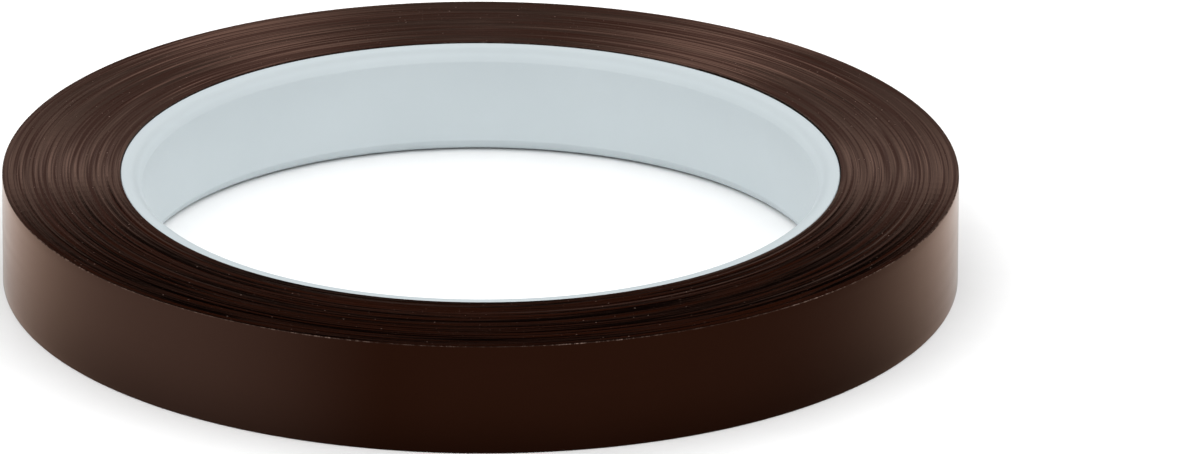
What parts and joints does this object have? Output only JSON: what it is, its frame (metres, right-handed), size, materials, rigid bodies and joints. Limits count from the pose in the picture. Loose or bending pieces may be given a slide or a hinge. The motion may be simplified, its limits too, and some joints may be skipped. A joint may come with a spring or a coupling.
{
  "type": "adhesive tape roll",
  "caption": "Narrow roll of dark brown adhesive film tape on a pale plastic core, lying flat, with a free end that peels away from the outside.",
  "frame": {"origin": "on the roll's axis, in the plane of the wound tape's lower side, which it rests on", "axes": "+Z along the roll's axis, up from the side it lies on; +X to the right of the roll; seen from above, the tape's free end points counter-clockwise"},
  "size_m": [0.108, 0.108, 0.0127],
  "materials": {
    "core_plastic": "pale bluish white moulded plastic, satin",
    "tape_edges": "side of the winding: slit edges of dark brown film, fine rings, satin",
    "tape_film": "outside of dark brown film tape, smooth, satin gloss"
  },
  "bodies": {
    "roll": {"core": "core_plastic", "wound_tape": "tape_edges", "outer_lap": "tape_film"},
    "free_end_1": {"tape_tail_1": "tape_film"},
    "free_end_2": {"tape_tail_2": "tape_film"},
    "free_end_3": {"tape_tail_3": "tape_film"},
    "free_end_4": {"tape_tail_4": "tape_film"},
    "free_end_5": {"tape_tail_5": "tape_film"},
    "free_end_6": {"tape_tail_6": "tape_film"},
    "free_end_7": {"tape_tail_7": "tape_film"},
    "free_end_8": {"tape_tail_8": "tape_film"}
  },
  "joints": [
    {"name": "peel_1", "type": "hinge", "parent": "roll", "child": "free_end_1", "pos_m": [0.05284, 0.01123, 0.00635], "axis": [0, 0, -1], "range_deg": [0, 15]},
    {"name": "peel_2", "type": "hinge", "parent": "free_end_1", "child": "free_end_2", "pos_m": [0.05166, 0.01579, 0.00635], "axis": [0, 0, -1], "range_deg": [0, 15]},
    {"name": "peel_3", "type": "hinge", "parent": "free_end_2", "child": "free_end_3", "pos_m": [0.05009, 0.02024, 0.00635], "axis": [0, 0, -1], "range_deg": [0, 15]},
    {"name": "peel_4", "type": "hinge", "parent": "free_end_3", "child": "free_end_4", "pos_m": [0.04813, 0.02452, 0.00635], "axis": [0, 0, -1], "range_deg": [0, 15]},
    {"name": "peel_5", "type": "hinge", "parent": "free_end_4", "child": "free_end_5", "pos_m": [0.04581, 0.02863, 0.00635], "axis": [0, 0, -1], "range_deg": [0, 15]},
    {"name": "peel_6", "type": "hinge", "parent": "free_end_5", "child": "free_end_6", "pos_m": [0.04314, 0.03251, 0.00635], "axis": [0, 0, -1], "range_deg": [0, 15]},
    {"name": "peel_7", "type": "hinge", "parent": "free_end_6", "child": "free_end_7", "pos_m": [0.04014, 0.03615, 0.00635], "axis": [0, 0, -1], "range_deg": [0, 15]},
    {"name": "peel_8", "type": "hinge", "parent": "free_end_7", "child": "free_end_8", "pos_m": [0.03684, 0.03951, 0.00635], "axis": [0, 0, -1], "range_deg": [0, 15]}
  ],
  "couplings": [
    {"joint": "peel_2", "follows": "peel_1", "ratio": 1},
    {"joint": "peel_3", "follows": "peel_1", "ratio": 1},
    {"joint": "peel_4", "follows": "peel_1", "ratio": 1},
    {"joint": "peel_5", "follows": "peel_1", "ratio": 1},
    {"joint": "peel_6", "follows": "peel_1", "ratio": 1},
    {"joint": "peel_7", "follows": "peel_1", "ratio": 1},
    {"joint": "peel_8", "follows": "peel_1", "ratio": 1}
  ]
}
